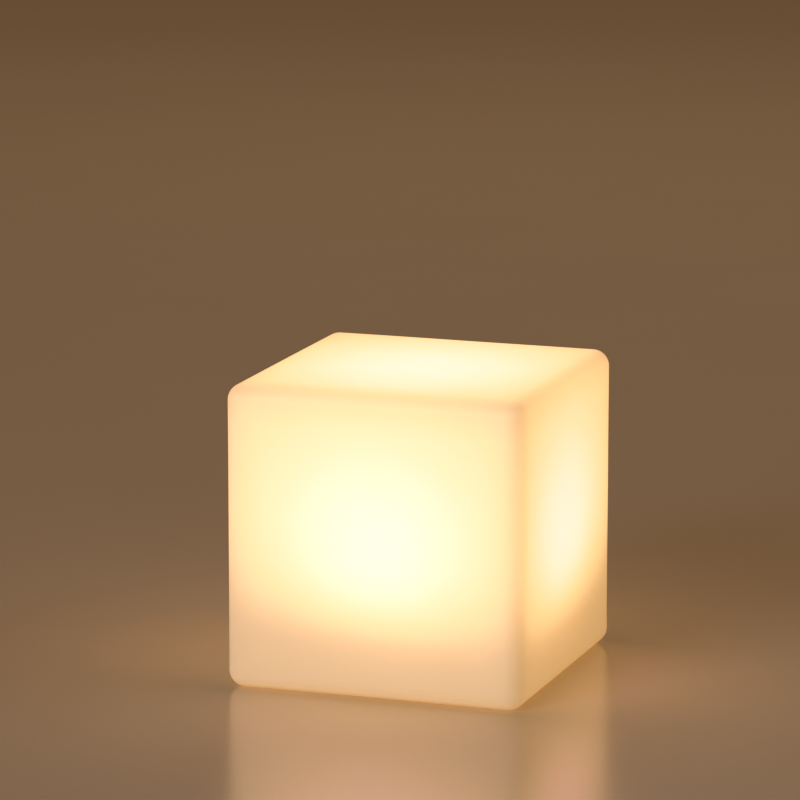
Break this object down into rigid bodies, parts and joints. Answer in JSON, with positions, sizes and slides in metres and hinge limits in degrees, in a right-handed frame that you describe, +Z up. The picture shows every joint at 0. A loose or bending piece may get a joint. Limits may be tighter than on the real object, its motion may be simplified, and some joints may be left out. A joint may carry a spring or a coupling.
{
  "type": "floating pool light",
  "caption": "Glowing cube pool light: a milky rounded shell that screws down over a sealed rechargeable light core with button and charging port underneath.",
  "frame": {"origin": "centre of the cube's square footprint, on the surface it stands on", "axes": "+Z up through the cube, -Y towards the front face, +X to the right"},
  "size_m": [0.2, 0.2, 0.2],
  "materials": {
    "milky_shell": "satin, translucent, lit from inside",
    "collar_plastic": "satin",
    "core_plastic": "fine-textured",
    "seal_rubber": "matt",
    "foot_rubber": "matt",
    "screw_steel": "machined",
    "thermal_silicone": "matt",
    "led_mask": "solder mask",
    "led_phosphor": "lit",
    "black_epoxy": "moulded",
    "clear_cover": "clear moulding",
    "tray_plastic": "moulded",
    "cell_sleeve": "shrink sleeve",
    "nickel": "rolled",
    "circuit_board": "solder mask",
    "capacitor_can": "drawn can",
    "ferrite": "sintered",
    "connector_nylon": "moulded",
    "button_plastic": "satin",
    "plunger_plastic": "moulded",
    "socket_plastic": "moulded",
    "socket_steel": "drawn",
    "cover_silicone": "soft matt",
    "lead_red": "wire insulation",
    "lead_black": "wire insulation",
    "lead_yellow": "wire insulation",
    "lead_ribbon": "wire insulation, one colour each"
  },
  "bodies": {
    "light_core": {"base_cup": "core_plastic", "base_feet": "foot_rubber", "core_lid": "core_plastic", "lid_seal": "seal_rubber", "lid_screws": "screw_steel", "thermal_pad": "thermal_silicone", "led_board": "led_mask", "led_chips": "led_phosphor", "led_board_screws": "screw_steel", "ir_receiver": "black_epoxy", "led_cover": "clear_cover", "cover_seal": "seal_rubber", "cover_screws": "screw_steel", "lead_grommet": "seal_rubber", "led_leads": "lead_ribbon", "battery_tray": "tray_plastic", "battery_cells": "cell_sleeve", "battery_tabs": "nickel", "protection_board": "circuit_board", "battery_clamp": "tray_plastic", "clamp_screws": "screw_steel", "battery_lead_red": "lead_red", "battery_lead_black": "lead_black", "control_board": "circuit_board", "board_screws": "screw_steel", "board_chips": "black_epoxy", "board_capacitors": "capacitor_can", "board_inductor": "ferrite", "board_connectors": "connector_nylon", "button_seal": "seal_rubber", "switch_board": "circuit_board", "switch_body": "black_epoxy", "switch_screws": "screw_steel", "switch_leads": "lead_yellow", "charge_housing": "socket_plastic", "charge_shell": "socket_steel", "charge_tongue": "black_epoxy", "charge_seal": "seal_rubber", "charge_screws": "screw_steel", "charge_leads": "lead_ribbon", "port_pin": "screw_steel"},
    "seal_ring": {"neck_seal": "seal_rubber"},
    "cube_shell": {"shell": "milky_shell", "neck_collar": "collar_plastic"},
    "button": {"power_button": "button_plastic", "button_clip": "screw_steel"},
    "plunger": {"switch_plunger": "plunger_plastic"},
    "cover": {"port_cover": "cover_silicone"}
  },
  "joints": [
    {"name": "shell_turn", "type": "hinge", "parent": "light_core", "child": "seal_ring", "pos_m": [0, 0, 0], "axis": [0, 0, 1], "range_deg": [0, 720]},
    {"name": "shell_lift", "type": "slide", "parent": "seal_ring", "child": "cube_shell", "axis": [0, 0, 1], "range_m": [0, 0.0721]},
    {"name": "button_press", "type": "slide", "parent": "light_core", "child": "button", "axis": [0, 0, 1], "range_m": [0, 0.0006], "stiffness_N_per_m": 2500, "springref_m": -0.0002},
    {"name": "switch_press", "type": "slide", "parent": "light_core", "child": "plunger", "axis": [0, 0, 1], "range_m": [0, 0.00061]},
    {"name": "cover_swing", "type": "hinge", "parent": "light_core", "child": "cover", "pos_m": [0, 0.049, 0.0034], "axis": [1, 0, 0], "range_deg": [0, 120]}
  ],
  "couplings": [
    {"joint": "shell_lift", "follows": "shell_turn", "m_per_rad": 0.0057296},
    {"joint": "switch_press", "follows": "button_press", "ratio": 1}
  ]
}
